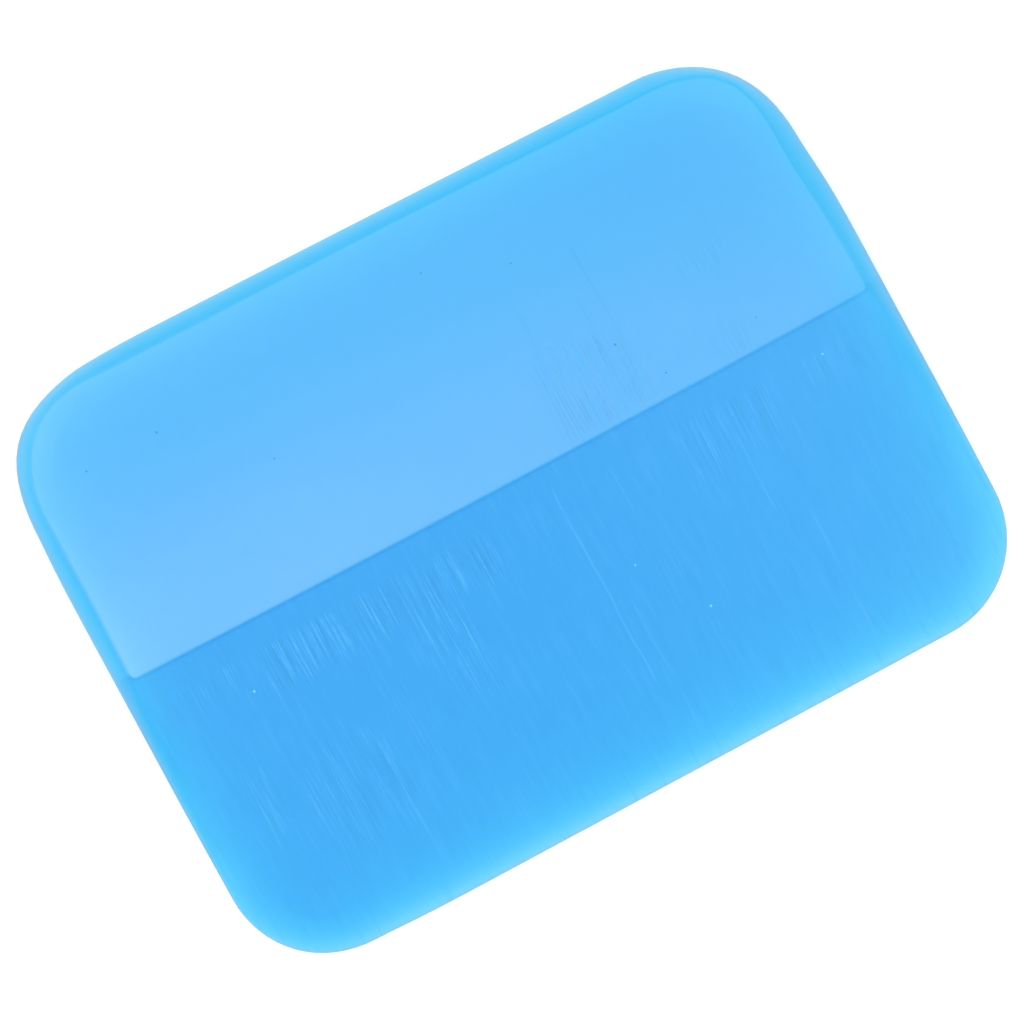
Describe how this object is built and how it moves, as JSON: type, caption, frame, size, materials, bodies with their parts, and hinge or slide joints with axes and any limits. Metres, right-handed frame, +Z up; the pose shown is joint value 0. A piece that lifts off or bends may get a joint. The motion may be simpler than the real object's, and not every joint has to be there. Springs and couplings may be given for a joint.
{
  "type": "squeegee applicator",
  "caption": "Soft wedge squeegee: a thick flat grip, a straight crease and a long taper to a thin working lip, all one translucent blue moulding.",
  "frame": {"origin": "middle of the flat underside, below the centre of the 120 x 90 mm plan", "axes": "+X runs along the working lip (the 120 mm side), +Y points from the lip to the grip's back edge, +Z is up, out of the grip's top face"},
  "size_m": [0.12, 0.09, 0.008],
  "materials": {
    "polyurethane": "satin, translucent sky blue, with fine scratches along the stroke"
  },
  "bodies": {
    "grip": {"grip_slab": "polyurethane", "blade_root": "polyurethane", "flex_web": "polyurethane"},
    "lip": {"working_lip": "polyurethane"}
  },
  "joints": [
    {"name": "blade_flex", "type": "hinge", "parent": "grip", "child": "lip", "pos_m": [0, -0.024, 0.00232], "axis": [-1, 0, 0], "range_deg": [-35, 35], "stiffness_Nm_per_rad": 0.54, "deforming": ["flex_web"]}
  ]
}
